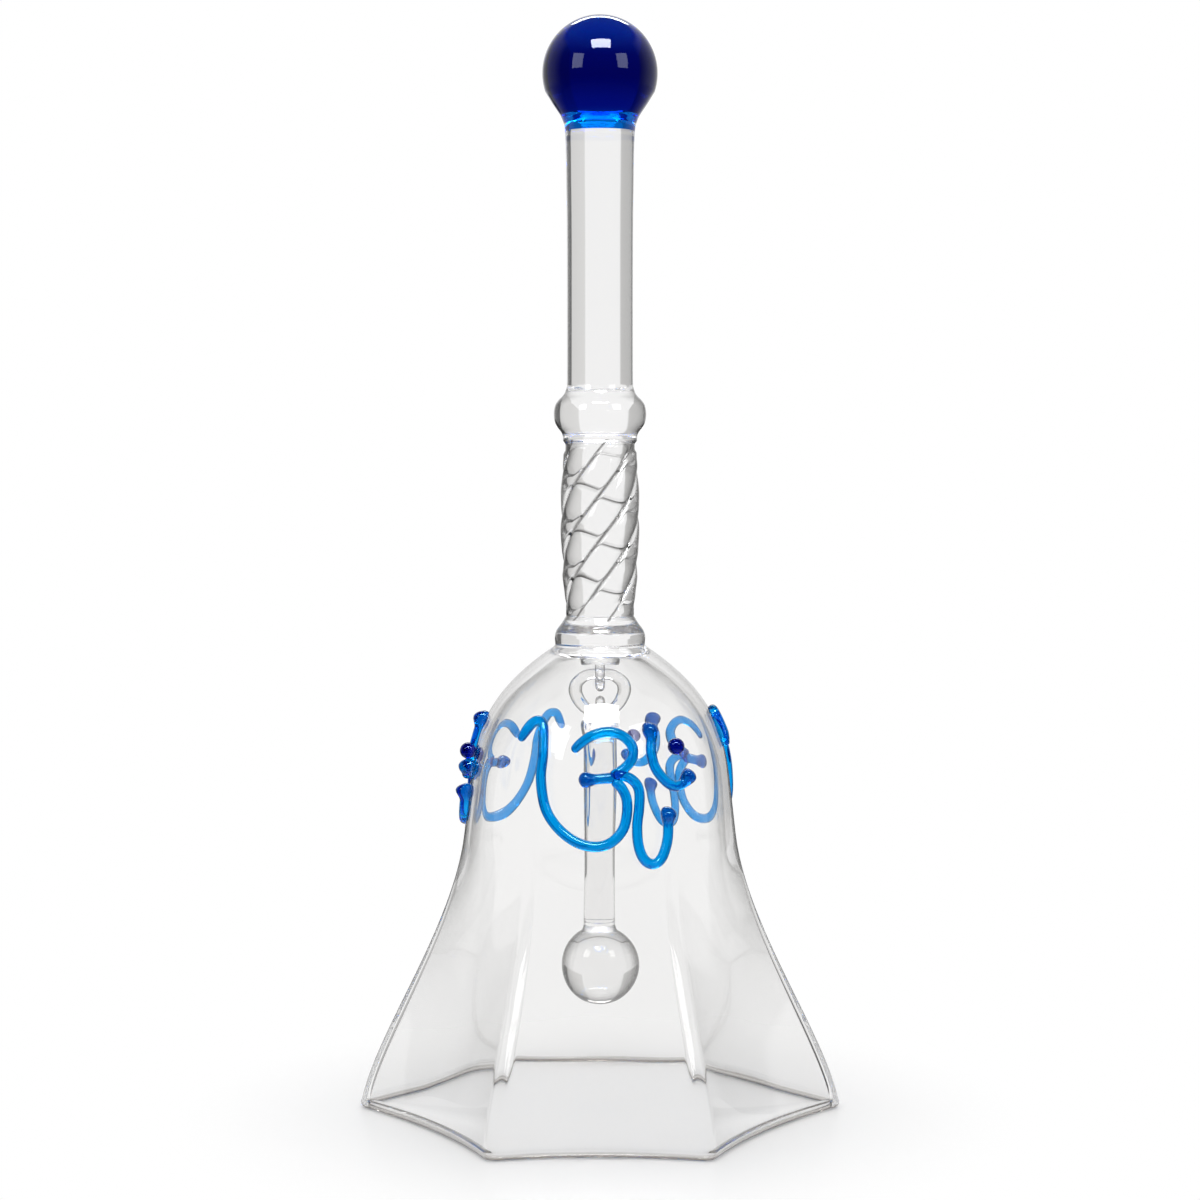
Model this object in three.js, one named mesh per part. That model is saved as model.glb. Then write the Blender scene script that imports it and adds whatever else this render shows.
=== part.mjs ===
// A hand bell blown and worked from borosilicate glass rod and tube, in millimetres.
// +Z is up, the mouth stands on z = 0, and -Y is the front, where the first sign is.
import * as THREE from 'three';

// Clearances: fused pieces stay this far apart, and so do the loops of the hanger
const fuseGap = 0.3;
const swingGap = 0.3;

// Shell: a round dome that opens into a hexagonal mouth with hollow sides
const shellHeight = 85.3;
const crownSeatRadius = 8.4;
const shoulderRadius = 23.8;
const shoulderHeight = 61;
const waistRadius = 24.9;
const waistHeight = 51.2;
const mouthRadius = 44.3;
const mouthSlope = 0.15;
const wall = 1.4;
const crownWall = 2.3;
const cornerCount = 6;
const cornerRounding = 2.5;
const cornerFill = 4;
const sideHollow = 2.2;
const sidePinch = 0.18;
const roundAbove = 50;
const lipHeight = 1.6;
const lipSwell = 0.35;

// Handle, from the shell upwards
const collarHeight = 4.4;
const collarRadius = 8.3;
const twistLength = 32.6;
const twistRadius = 7.05;
const strandCount = 6;
const strandRound = 4.5;
const strandGap = 0.4;
const strandEndDraw = 0.5;
const strandEndLength = 3.4;
const strandTurns = 0.657;
const strandStart = 73.8;
const knopHeight = 8.9;
const knopRadius = 8.4;
const neckRadius = 6.6;
const gripRadius = 6.0;
const gripLength = 48.1;
const gripEndBulge = 0.7;
const seatInset = 0.2;
const finialRadius = 10.5;
const finialSink = 1.8;

// Hanger: an eye under the crown, a loose link and the clapper's own eye
const eyeWire = 1.8;
const eyePlay = 0.1;
const eyeShoulder = 0.25;
const stubHeight = 1.0;
const linkWire = 1.8;
const linkSideWire = 2.5;
const linkWidth = 11.5;
const linkHeadroom = 0.6;
const chainPlay = 0.7;

// Clapper
const clapperRodRadius = 2.95;
const clapperShoulderHeight = 3.4;
const clapperRodLength = 38.2;
const clapperBallRadius = 7.2;
const clapperNeckLength = 0.6;

// Signs: bent rod laid on the shell, drawn flat as [across, up] from the middle of each sign
const signHeight = 61;
const strokeRadius = 0.93;
const bulbRadius = 1.42;
const dotRadius = 1.5;

const clearGlass = { color: 0xf4f7f8, roughness: 0.03, metalness: 0, transparent: true, opacity: 0.35 };
const azureGlass = { color: 0x0078c8, roughness: 0.05, metalness: 0, transparent: true, opacity: 0.8 };
const cobaltGlass = { color: 0x00108a, roughness: 0.03, metalness: 0, transparent: true, opacity: 0.9 };

const bell = new THREE.Group();

function addPiece(name, geometry, look) {
  const mesh = new THREE.Mesh(geometry, new THREE.MeshStandardMaterial(look));
  mesh.name = name;
  bell.add(mesh);
  return mesh;
}

// Closed mesh from rings of points: each ring has the same count, and both ends close on a middle point
function skinRings(rings, startMiddle, endMiddle) {
  const around = rings[0].length;
  const points = [startMiddle, ...rings.flat(), endMiddle];
  const last = points.length - 1;
  const faces = [];
  for (let i = 0; i < around; i++) {
    const j = (i + 1) % around;
    faces.push(0, 1 + j, 1 + i);
    for (let k = 0; k < rings.length - 1; k++) {
      const a = 1 + k * around;
      const b = a + around;
      faces.push(a + i, a + j, b + j);
      faces.push(a + i, b + j, b + i);
    }
    const top = 1 + (rings.length - 1) * around;
    faces.push(last, top + i, top + j);
  }
  const geometry = new THREE.BufferGeometry();
  geometry.setAttribute('position', new THREE.Float32BufferAttribute(points.flatMap((p) => p.toArray()), 3));
  geometry.setIndex(faces);
  return geometry;
}

// Lathe about the Z axis of an outline given as [radius, height] from bottom to top
function turned(outline, segments = 24) {
  const profile = outline.map(([radius, height]) => new THREE.Vector2(radius, height));
  return new THREE.LatheGeometry(profile, segments).rotateX(Math.PI / 2);
}

// Points of a round bulge between two radii, as a half sine over a straight line
function bulgeOutline(bottom, top, height0, height1, swell, steps) {
  const outline = [];
  for (let i = 0; i <= steps; i++) {
    const t = i / steps;
    const radius = THREE.MathUtils.lerp(bottom, top, t) + swell * Math.sin(Math.PI * t);
    outline.push([radius, THREE.MathUtils.lerp(height0, height1, t)]);
  }
  return outline;
}

// Points of a shallow cap from the axis out to its rim, rising by "rise" at the axis
function capOutline(radius, height, rise, steps = 3) {
  const outline = [];
  for (let i = 0; i <= steps; i++) {
    const t = i / steps;
    outline.push([radius * t, height + rise * (1 - t * t)]);
  }
  return outline;
}

// Shell profile at the corner ridges, from the crown down to the mouth
const sideSlope = (waistRadius - shoulderRadius) / (shoulderHeight - waistHeight);
const domeDrop = shellHeight - shoulderHeight;
const crownPull = { out: 0.69 * (waistRadius - crownSeatRadius), down: 0.31 * domeDrop };
const shoulderPull = 0.39 * domeDrop;
const waistPull = 0.36 * waistHeight;
const mouthPull = 0.25 * waistHeight;
const dome = new THREE.CubicBezierCurve(
  new THREE.Vector2(crownSeatRadius, shellHeight),
  new THREE.Vector2(crownSeatRadius + crownPull.out, shellHeight - crownPull.down),
  new THREE.Vector2(shoulderRadius - shoulderPull * sideSlope, shoulderHeight + shoulderPull),
  new THREE.Vector2(shoulderRadius, shoulderHeight),
);
const flare = new THREE.CubicBezierCurve(
  new THREE.Vector2(waistRadius, waistHeight),
  new THREE.Vector2(waistRadius + waistPull * sideSlope, waistHeight - waistPull),
  new THREE.Vector2(mouthRadius - mouthPull * mouthSlope, mouthPull),
  new THREE.Vector2(mouthRadius, 0),
);
const domeRows = dome.getSpacedPoints(6);
const flareRows = flare.getSpacedPoints(9);
const shellProfile = [...domeRows, ...flareRows];

// Ridge radius at a height, read off the profile
const fineProfile = [...dome.getPoints(120), ...flare.getPoints(160)];
function ridgeRadius(height) {
  for (let i = 1; i < fineProfile.length; i++) {
    const low = fineProfile[i];
    const high = fineProfile[i - 1];
    if (height >= low.y) {
      const t = (height - low.y) / Math.max(high.y - low.y, 1e-9);
      return THREE.MathUtils.lerp(low.x, high.x, Math.min(t, 1));
    }
  }
  return mouthRadius;
}

// How hexagonal the section is: 0 is a circle, 1 is the full hexagon of the mouth
function hexShare(height) {
  const t = THREE.MathUtils.clamp(height / roundAbove, 0, 1);
  return 1 - t * t;
}

// Hexagon with rounded corners, as a radius at a turn from the middle of a side. Its sides are arcs that
// bow inwards, offset outwards by the corner rounding. The inner skin fills the corners with more glass
function hexagonRadius(turn, ridge, share, inset) {
  const half = Math.PI / cornerCount;
  const fill = cornerFill * THREE.MathUtils.clamp(inset / wall, 0, 1);
  const offset = cornerRounding - inset + fill;
  const outerTip = ridge - cornerRounding;
  const tip = outerTip - fill / Math.cos(half);
  const halfChord = tip * Math.sin(half);
  const hollow = sideHollow * share * (outerTip / (mouthRadius - cornerRounding));
  const bow = (halfChord * halfChord + hollow * hollow) / (2 * hollow);
  const sideCentre = tip * Math.cos(half) - hollow + bow;
  const lean = Math.asin(halfChord / bow);
  const jointX = tip * Math.cos(half) + offset * Math.cos(lean);
  const jointY = halfChord - offset * Math.sin(lean);
  const angle = Math.abs(turn);
  if (angle < Math.atan2(jointY, jointX)) {
    const reach = bow - offset;
    return sideCentre * Math.cos(angle) - Math.sqrt(reach * reach - (sideCentre * Math.sin(angle)) ** 2);
  }
  const away = half - angle;
  return tip * Math.cos(away) + Math.sqrt(offset * offset - (tip * Math.sin(away)) ** 2);
}

// Section of the shell: the hexagon of the mouth gives way to a circle with height
function sectionRadius(turn, ridge, height, inset) {
  const circle = ridge - inset;
  const share = hexShare(height);
  return share > 0 ? THREE.MathUtils.lerp(circle, hexagonRadius(turn, ridge, share, inset), share) : circle;
}

// Point of the section at an azimuth from the front. The front and back sides are the narrower ones
function sectionPoint(radius, azimuth, ridge, height) {
  const across = radius * Math.sin(azimuth);
  const out = radius * Math.cos(azimuth);
  const pinch = 1 - sidePinch * hexShare(height) * (Math.abs(out) / ridge) ** 1.5;
  return new THREE.Vector3(across * pinch, -out, height);
}

// Outer surface of the shell at an azimuth from the front, towards +X
function onShell(azimuth, height, proud) {
  const sector = (2 * Math.PI) / cornerCount;
  const turn = azimuth - sector * Math.round(azimuth / sector);
  const ridge = ridgeRadius(height);
  return sectionPoint(sectionRadius(turn, ridge, height, 0) + proud, azimuth, ridge, height);
}

// Shell: inner skin from the crown down to the lip, and outer skin back up
function shellGeometry() {
  const half = Math.PI / cornerCount;
  const sideTurns = [-1, -0.965, -0.93, -0.8, -0.45, 0, 0.45, 0.8, 0.93, 0.965].map((share) => share * half);
  const turns = [];
  for (let side = 0; side < cornerCount; side++) {
    sideTurns.forEach((turn) => turns.push([turn, side * 2 * half + turn]));
  }
  const ring = (ridge, height, sectionHeight, inset) =>
    turns.map(([turn, azimuth]) => {
      const radius = sectionRadius(turn, ridge, sectionHeight, inset);
      return sectionPoint(radius, azimuth, ridge, sectionHeight).setZ(height);
    });
  const outer = [];
  const inner = [];
  shellProfile.forEach((point, i) => {
    const next = shellProfile[Math.min(i + 1, shellProfile.length - 1)];
    const before = shellProfile[Math.max(i - 1, 0)];
    const along = next.clone().sub(before).normalize();
    const crownShare = THREE.MathUtils.clamp((point.y - shoulderHeight) / domeDrop, 0, 1);
    const thickness = THREE.MathUtils.lerp(wall, crownWall, crownShare ** 2);
    const inset = -along.y * thickness;
    const drop = along.x * thickness;
    if (point.y > lipHeight) {
      outer.push(ring(point.x, point.y, point.y, 0));
      inner.push(ring(point.x, point.y - drop, point.y, inset));
    }
  });
  const lipRidge = ridgeRadius(lipHeight);
  const lipRings = [
    ring(lipRidge + lipSwell, lipHeight * 0.75, lipHeight, 0),
    ring(lipRidge + lipSwell, lipHeight * 0.3, lipHeight, 0),
    ring(lipRidge + lipSwell * 0.3, 0, lipHeight, 0),
    ring(lipRidge, 0, lipHeight, wall * 0.9),
    ring(lipRidge, lipHeight * 0.3, lipHeight, wall + lipSwell),
    ring(lipRidge, lipHeight * 0.75, lipHeight, wall + lipSwell),
  ];
  const crownTop = new THREE.Vector3(0, 0, shellHeight);
  const crownUnder = new THREE.Vector3(0, 0, shellHeight - crownWall);
  // The first inner ring goes flat, as the eye of the hanger is fused there
  const seatRing = inner[0].map((p) => new THREE.Vector3(p.x, p.y, shellHeight - crownWall));
  const rings = [seatRing, ...inner.slice(1), ...lipRings.reverse(), ...outer.reverse()];
  return skinRings(rings, crownUnder, crownTop);
}
addPiece('bell_shell', shellGeometry(), clearGlass);

// Lower collar: a pressed disc of glass on the crown of the shell
const collarBase = shellHeight + fuseGap;
const collarTop = collarBase + collarHeight;
const collarOutline = [
  [0, collarBase],
  [crownSeatRadius - 0.5, collarBase],
  [collarRadius - 0.1, collarBase + 0.12 * collarHeight],
  [collarRadius, collarBase + 0.32 * collarHeight],
  [THREE.MathUtils.lerp(collarRadius, neckRadius, 0.3), collarBase + 0.58 * collarHeight],
  [THREE.MathUtils.lerp(collarRadius, neckRadius, 0.75), collarBase + 0.8 * collarHeight],
  [neckRadius, collarTop],
  [0, collarTop],
];
addPiece('lower_collar', turned(collarOutline), clearGlass);

// Twisted column: hot rods pressed side by side into wedges with round backs, then twisted
const twistBase = collarTop + fuseGap;
const strandCentreRadius = twistRadius - strandRound;
function strandSection() {
  const half = Math.PI / strandCount;
  const backAt = (a) => {
    const off = strandCentreRadius * Math.sin(a);
    return strandCentreRadius * Math.cos(a) + Math.sqrt(strandRound * strandRound - off * off);
  };
  const reach = half - strandGap / 2 / backAt(half);
  const backSteps = 8;
  const section = [[strandGap / 2 / Math.sin(half), 0]];
  for (let i = 0; i <= backSteps; i++) {
    const a = THREE.MathUtils.lerp(-reach, reach, i / backSteps);
    section.push([backAt(a), a]);
  }
  return section;
}

function strandGeometry(startTurn) {
  const steps = 24;
  const section = strandSection();
  const rings = [];
  for (let i = 0; i <= steps; i++) {
    const along = (twistLength * i) / steps;
    const fromEnd = Math.min(along, twistLength - along);
    const draw = strandEndDraw * (1 - THREE.MathUtils.smoothstep(fromEnd, 0, strandEndLength));
    const turn = startTurn + 2 * Math.PI * strandTurns * (i / steps);
    rings.push(section.map(([radius, a]) => {
      const drawn = radius * (1 - draw / twistRadius);
      return new THREE.Vector3(drawn * Math.cos(turn + a), drawn * Math.sin(turn + a), twistBase + along);
    }));
  }
  const middleOf = (ring) => {
    const sum = ring.reduce((total, point) => total.add(point), new THREE.Vector3());
    return sum.divideScalar(ring.length);
  };
  return skinRings(rings, middleOf(rings[0]), middleOf(rings[steps]));
}
for (let i = 0; i < strandCount; i++) {
  const startTurn = THREE.MathUtils.degToRad(strandStart) + (2 * Math.PI * i) / strandCount;
  addPiece(`twist_strand_${i + 1}`, strandGeometry(startTurn), clearGlass);
}

// Knop: the round bead between the twist and the grip, hollowed on top for the rod's rounded end
const knopBase = twistBase + twistLength + fuseGap;
const knopTop = knopBase + knopHeight;
const knopSwell = knopRadius - (neckRadius + gripRadius) / 2;
addPiece(
  'handle_knop',
  turned([
    [0, knopBase],
    ...bulgeOutline(neckRadius, gripRadius + seatInset, knopBase, knopTop, knopSwell, 8),
    ...capOutline(gripRadius - seatInset, knopTop, -gripEndBulge).reverse(),
  ]),
  clearGlass,
);

// Grip: a plain solid rod with rounded ends
const gripBase = knopTop + fuseGap;
const gripTop = gripBase + gripLength;
addPiece(
  'grip_rod',
  turned([
    ...capOutline(gripRadius, gripBase, -gripEndBulge),
    ...capOutline(gripRadius, gripTop, gripEndBulge).reverse(),
  ]),
  clearGlass,
);

// Ball finial: cobalt glass, flared where it is fused to the rod
const finialBase = gripTop + fuseGap;
const finialCentre = finialBase + finialRadius - finialSink;
const finialNeck = gripRadius + seatInset;
const finialStart = Math.asin((finialNeck + 1) / finialRadius);
const finialArc = [];
const finialSteps = 11;
for (let i = 0; i <= finialSteps; i++) {
  const a = THREE.MathUtils.lerp(finialStart, Math.PI, i / finialSteps);
  const across = i === finialSteps ? 0 : finialRadius * Math.sin(a);
  finialArc.push([across, finialCentre - finialRadius * Math.cos(a)]);
}
addPiece(
  'ball_finial',
  turned([
    ...capOutline(gripRadius - seatInset, finialBase, gripEndBulge),
    [finialNeck, finialBase],
    ...finialArc,
  ]),
  cobaltGlass,
);

// Heights of the hanger's bars, each set by the one above it
const stubTop = shellHeight - crownWall - fuseGap;
const stubBottom = stubTop - stubHeight;
const linkTopBar = stubBottom - linkHeadroom - linkWire / 2;
const barStep = (linkWire + eyeWire) / 2 + swingGap;
const crownBar = linkTopBar - barStep;
const clapperBar = crownBar - eyeWire - chainPlay;
const linkBottomBar = clapperBar - barStep;
const clapperTop = linkBottomBar - linkWire / 2 - linkHeadroom;
const eyeArcRadius = linkWire / 2 + swingGap + eyePlay + eyeWire / 2;
const eyeSeatRadius = eyeArcRadius + eyeWire / 2 + eyeShoulder;

// Wire bent to a U in the YZ plane round a bar height, with its legs going straight on to legEnd
function eyeWireGeometry(barHeight, legEnd) {
  const up = Math.sign(legEnd - barHeight);
  const arcCentre = barHeight + up * eyeArcRadius;
  const path = [new THREE.Vector3(0, -eyeArcRadius, legEnd)];
  const arcSteps = 10;
  for (let i = 0; i <= arcSteps; i++) {
    const a = (Math.PI * i) / arcSteps;
    const y = -eyeArcRadius * Math.cos(a);
    path.push(new THREE.Vector3(0, y, arcCentre - up * eyeArcRadius * Math.sin(a)));
  }
  path.push(new THREE.Vector3(0, eyeArcRadius, legEnd));
  const sides = 10;
  const across = new THREE.Vector3(1, 0, 0);
  const rings = path.map((centre, i) => {
    const before = path[Math.max(i - 1, 0)];
    const after = path[Math.min(i + 1, path.length - 1)];
    const ahead = after.clone().sub(before).normalize();
    const normal = new THREE.Vector3().crossVectors(ahead, across);
    const ring = [];
    for (let k = 0; k < sides; k++) {
      const a = (2 * Math.PI * k) / sides;
      const point = centre.clone().addScaledVector(across, (eyeWire / 2) * Math.cos(a));
      ring.push(point.addScaledVector(normal, (eyeWire / 2) * Math.sin(a)));
    }
    return ring;
  });
  return skinRings(rings, path[0], path[path.length - 1]);
}

// Crown stub: a short button of glass fused under the crown, flat below
addPiece(
  'crown_stub',
  turned([
    [0, stubBottom],
    [eyeSeatRadius, stubBottom],
    [eyeSeatRadius + 0.5 * eyeShoulder, stubBottom + 0.4 * stubHeight],
    [eyeSeatRadius + eyeShoulder, stubTop],
    [0, stubTop],
  ]),
  clearGlass,
);

// Crown eye: a wire bent to a U and fused to the stub by both legs
addPiece('crown_eye', eyeWireGeometry(crownBar, stubBottom - fuseGap), clearGlass);

// Link: a loose ring like a stirrup, wide above and narrow below, with its sides thicker than its bars
function linkGeometry() {
  const steps = 32;
  const sides = 8;
  const halfWidth = (linkWidth - linkSideWire) / 2;
  const sideShares = [[0.51, 0.98], [0.89, 0.81], [1, 0.61], [0.92, 0.42], [0.73, 0.22], [0.44, 0.06]];
  const mirrored = sideShares.map(([across, up]) => [-across, up]).reverse();
  const outline = [[0, 1], ...sideShares, [0, 0], ...mirrored].map(([across, up]) => {
    return new THREE.Vector3(halfWidth * across, 0, THREE.MathUtils.lerp(linkBottomBar, linkTopBar, up));
  });
  const ring = new THREE.CatmullRomCurve3(outline, true, 'catmullrom', 0.5);
  const depth = new THREE.Vector3(0, 1, 0);
  const points = [];
  const faces = [];
  for (let i = 0; i < steps; i++) {
    const centre = ring.getPoint(i / steps);
    const ahead = ring.getTangent(i / steps);
    const normal = new THREE.Vector3().crossVectors(depth, ahead);
    const radius = THREE.MathUtils.lerp(linkWire, linkSideWire, ahead.z * ahead.z) / 2;
    for (let k = 0; k < sides; k++) {
      const a = (2 * Math.PI * k) / sides;
      const point = centre.clone().addScaledVector(normal, radius * Math.cos(a));
      points.push(point.addScaledVector(depth, radius * Math.sin(a)));
      const a0 = i * sides + k;
      const a1 = i * sides + ((k + 1) % sides);
      const b0 = ((i + 1) % steps) * sides + k;
      const b1 = ((i + 1) % steps) * sides + ((k + 1) % sides);
      faces.push(a0, a1, b1, a0, b1, b0);
    }
  }
  const geometry = new THREE.BufferGeometry();
  geometry.setAttribute('position', new THREE.Float32BufferAttribute(points.flatMap((p) => p.toArray()), 3));
  geometry.setIndex(faces);
  return geometry;
}
addPiece('hanger_link', linkGeometry(), clearGlass);

// Clapper rod: a plain rod with a round shoulder, flat on top
const clapperRodBase = clapperTop - clapperRodLength;
addPiece(
  'clapper_rod',
  turned([
    [0, clapperRodBase],
    [clapperRodRadius, clapperRodBase],
    [clapperRodRadius, clapperTop - clapperShoulderHeight],
    [eyeSeatRadius, clapperTop - 0.7 * clapperShoulderHeight],
    [eyeSeatRadius + 0.5 * eyeShoulder, clapperTop - 0.35 * clapperShoulderHeight],
    [eyeSeatRadius, clapperTop],
    [0, clapperTop],
  ]),
  clearGlass,
);

// Clapper eye: the same U of wire, fused to the shoulder and hooked over the link's lower bar
addPiece('clapper_eye', eyeWireGeometry(clapperBar, clapperTop + fuseGap), clearGlass);

// Clapper ball: a gathered ball with a short neck, fused on the end of the rod
const ballNeckTop = clapperRodBase - fuseGap;
const ballNeckReach = Math.sqrt(clapperBallRadius ** 2 - clapperRodRadius ** 2);
const ballCentre = ballNeckTop - clapperNeckLength - ballNeckReach;
const ballArc = [];
const ballSteps = 10;
const ballEnd = Math.PI - Math.asin(clapperRodRadius / clapperBallRadius);
for (let i = 0; i <= ballSteps; i++) {
  const a = (ballEnd * i) / ballSteps;
  ballArc.push([clapperBallRadius * Math.sin(a), ballCentre - clapperBallRadius * Math.cos(a)]);
}
addPiece('clapper_ball', turned([...ballArc, [clapperRodRadius, ballNeckTop], [0, ballNeckTop]]), clearGlass);

// Strokes of one sign, in the order they are laid. "from" and "to" are the radii of the ends
const stem = strokeRadius;
const bulb = bulbRadius;
const strokes = {
  sweep: {
    from: 0.8 * stem,
    to: stem,
    points: [[-17.1, 8.6], [-14.6, 11.9], [-12.2, 11.6], [-11.1, 7], [-11, 2.3], [-9.9, -2.5], [-7.6, -5.8],
      [-4.4, -8.2], [-1.2, -9.1], [1.7, -8.5], [3.9, -6.3], [4.7, -3.6], [4.6, -0.9], [3.3, 1.2]],
  },
  curl: {
    from: 0.85 * stem,
    to: stem,
    points: [[-5.3, 7.2], [-3.5, 8.8], [-1.2, 10.1], [1.9, 10.6], [4.6, 9.8], [6.2, 8.1], [6.1, 6.2],
      [4.9, 4.9], [3.1, 4.2]],
  },
  bar: {
    from: bulb,
    to: 1.1 * stem,
    points: [[-3.9, 2.4], [-1.5, 2.5], [1.3, 2.7]],
  },
  tail: {
    from: stem,
    to: bulb,
    points: [[5.4, 2.5], [6.6, 1.6], [7.1, -0.2], [6.9, -2.8], [6.5, -5.6], [6.6, -8.8], [7.4, -11.2],
      [8.9, -12.3], [10.5, -11.7], [11.8, -9.1], [12.3, -6.2], [12.2, -2.5]],
  },
  crescent: {
    from: bulb,
    to: bulb,
    points: [[9.8, 12], [10.3, 9.6], [9.9, 7.2], [10.3, 4.6], [11.8, 2.4], [13.8, 1], [16, 1.3], [17.9, 3.6]],
  },
};
const dotPlace = [15.1, 7.8];

// The three signs: where each stands round the shell, and how its hand-drawn parts differ
const signs = [
  { name: 'front', azimuth: 0, tailStretch: 1, dotLift: 0, barLift: 0, hookDrop: 0 },
  { name: 'right', azimuth: 128, tailStretch: 0.93, dotLift: -0.8, barLift: -0.3, hookDrop: 2.6 },
  { name: 'left', azimuth: -121.5, tailStretch: 0.72, dotLift: -2.6, barLift: -0.4, hookDrop: 0 },
];

function strokeGeometry(stroke, azimuth) {
  const sides = 6;
  const flatPoints = stroke.points.map(([x, z]) => new THREE.Vector3(x, 0, z));
  const curve = new THREE.CatmullRomCurve3(flatPoints, false, 'catmullrom', 0.5);
  const length = curve.getLength();
  // Ends are balls, as the flame rounds each cut end, and the rest runs between them
  const radiusAt = (s) => {
    const ball = (radius, along) => {
      const from = along - radius;
      return Math.abs(from) < radius ? Math.sqrt(radius * radius - from * from) : 0;
    };
    const inFrom = THREE.MathUtils.smoothstep(s, 0, 3 * stem);
    const inTo = THREE.MathUtils.smoothstep(length - s, 0, 3 * stem);
    const run = stem * Math.min(THREE.MathUtils.lerp(Math.min(stroke.from / stem, 1), 1, inFrom),
      THREE.MathUtils.lerp(Math.min(stroke.to / stem, 1), 1, inTo));
    const past = s > stroke.from && s < length - stroke.to ? run : 0;
    return Math.max(past, ball(stroke.from, s), ball(stroke.to, length - s));
  };
  const stations = [];
  const endTurns = [0.28, 0.62, 1.05, 1.57];
  endTurns.forEach((a) => stations.push(stroke.from * (1 - Math.cos(a))));
  const runSteps = Math.max(2, Math.round((length - stroke.from - stroke.to) / 2.5));
  const afterBall = (radius) => radius + Math.sqrt(Math.max(radius * radius - stem * stem, 0));
  const runStart = Math.max(afterBall(stroke.from), stroke.from * 1.15);
  const runEnd = length - Math.max(afterBall(stroke.to), stroke.to * 1.15);
  for (let i = 0; i <= runSteps; i++) {
    stations.push(THREE.MathUtils.lerp(runStart, runEnd, i / runSteps));
  }
  [...endTurns].reverse().forEach((a) => stations.push(length - stroke.to * (1 - Math.cos(a))));
  const place = (s, proud) => {
    const flat = curve.getPointAt(THREE.MathUtils.clamp(s / length, 0, 1));
    return onShell(azimuth + flat.x / waistRadius, signHeight + flat.z, proud);
  };
  const rings = stations.map((s) => {
    const radius = radiusAt(s);
    const lift = fuseGap + Math.max(radius, 0.8 * stem);
    const centre = place(s, lift);
    const ahead = place(s + 0.05, lift).sub(place(s - 0.05, lift)).normalize();
    const outward = new THREE.Vector3(centre.x, centre.y, 0).normalize();
    const normal = outward.addScaledVector(ahead, -outward.dot(ahead)).normalize();
    const side = new THREE.Vector3().crossVectors(ahead, normal);
    const ring = [];
    for (let k = 0; k < sides; k++) {
      const a = (2 * Math.PI * k) / sides;
      const point = centre.clone().addScaledVector(normal, radius * Math.cos(a));
      ring.push(point.addScaledVector(side, radius * Math.sin(a)));
    }
    return ring;
  });
  return skinRings(rings, place(0, fuseGap + 0.8 * stem), place(length, fuseGap + 0.8 * stem));
}

function nudged(strokeName, points, sign) {
  const first = points[0];
  return points.map(([x, z], i) => {
    if (strokeName === 'tail') {
      return [x, first[1] + (z - first[1]) * sign.tailStretch];
    }
    if (strokeName === 'sweep' && i === 0) {
      return [x, z - sign.hookDrop];
    }
    if (strokeName === 'bar') {
      return [x, z + sign.barLift];
    }
    return [x, z];
  });
}

signs.forEach((sign) => {
  const azimuth = THREE.MathUtils.degToRad(sign.azimuth);
  Object.entries(strokes).forEach(([strokeName, stroke]) => {
    const drawn = { ...stroke, points: nudged(strokeName, stroke.points, sign) };
    addPiece(`${sign.name}_${strokeName}`, strokeGeometry(drawn, azimuth), azureGlass);
  });
  const dot = new THREE.SphereGeometry(dotRadius, 12, 8);
  const dotMesh = addPiece(`${sign.name}_dot`, dot, cobaltGlass);
  const [across, up] = dotPlace;
  const dotAzimuth = azimuth + across / waistRadius;
  dotMesh.position.copy(onShell(dotAzimuth, signHeight + up + sign.dotLift, dotRadius + fuseGap));
});

export default bell;
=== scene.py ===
import math
import bpy
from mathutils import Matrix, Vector, noise


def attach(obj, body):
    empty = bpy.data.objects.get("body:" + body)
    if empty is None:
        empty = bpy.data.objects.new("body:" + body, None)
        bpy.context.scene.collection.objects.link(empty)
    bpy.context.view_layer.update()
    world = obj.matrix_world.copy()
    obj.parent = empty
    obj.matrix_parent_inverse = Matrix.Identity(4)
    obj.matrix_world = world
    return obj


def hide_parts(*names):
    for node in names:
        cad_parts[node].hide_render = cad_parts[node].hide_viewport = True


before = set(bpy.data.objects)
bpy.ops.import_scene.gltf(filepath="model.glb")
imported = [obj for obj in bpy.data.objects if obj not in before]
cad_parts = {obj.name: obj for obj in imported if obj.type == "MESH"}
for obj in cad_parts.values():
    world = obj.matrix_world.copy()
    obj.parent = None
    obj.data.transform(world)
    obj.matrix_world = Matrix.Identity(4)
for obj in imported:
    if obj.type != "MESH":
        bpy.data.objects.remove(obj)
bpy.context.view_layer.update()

# Shell: blown from clear borosilicate tube, round at the crown and hexagonal at the mouth, with hollow sides.
# The wall is thin and a little uneven, thicker under the handle, and the lip is fire-polished to a bead.
MM = 0.001
SHELL_HEIGHT = 85.3
CROWN_SEAT = 8.4
SHOULDER = (23.8, 61.0)
WAIST = (24.9, 51.2)
MOUTH_RADIUS = 44.3
MOUTH_SLOPE = 0.15
WALL = 1.4
CROWN_WALL = 2.3
STUB_SEAT = 3.6
CORNERS = 6
CORNER_ROUNDING = 2.5
CORNER_FILL = 1.1
SIDE_HOLLOW = 2.2
SIDE_PINCH = 0.18
ROUND_ABOVE = 50.0
LIP_HEIGHT = 1.6
LIP_SWELL = 0.25
LIP_DROP = 0.62
LIP_STEPS = 10
WALL_WAVER = 0.16
WAVER_TURNS = 2.2
WAVER_LENGTH = 17
SHELL_COLUMNS = 56
CORNER_CROWDING = 0.25


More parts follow.
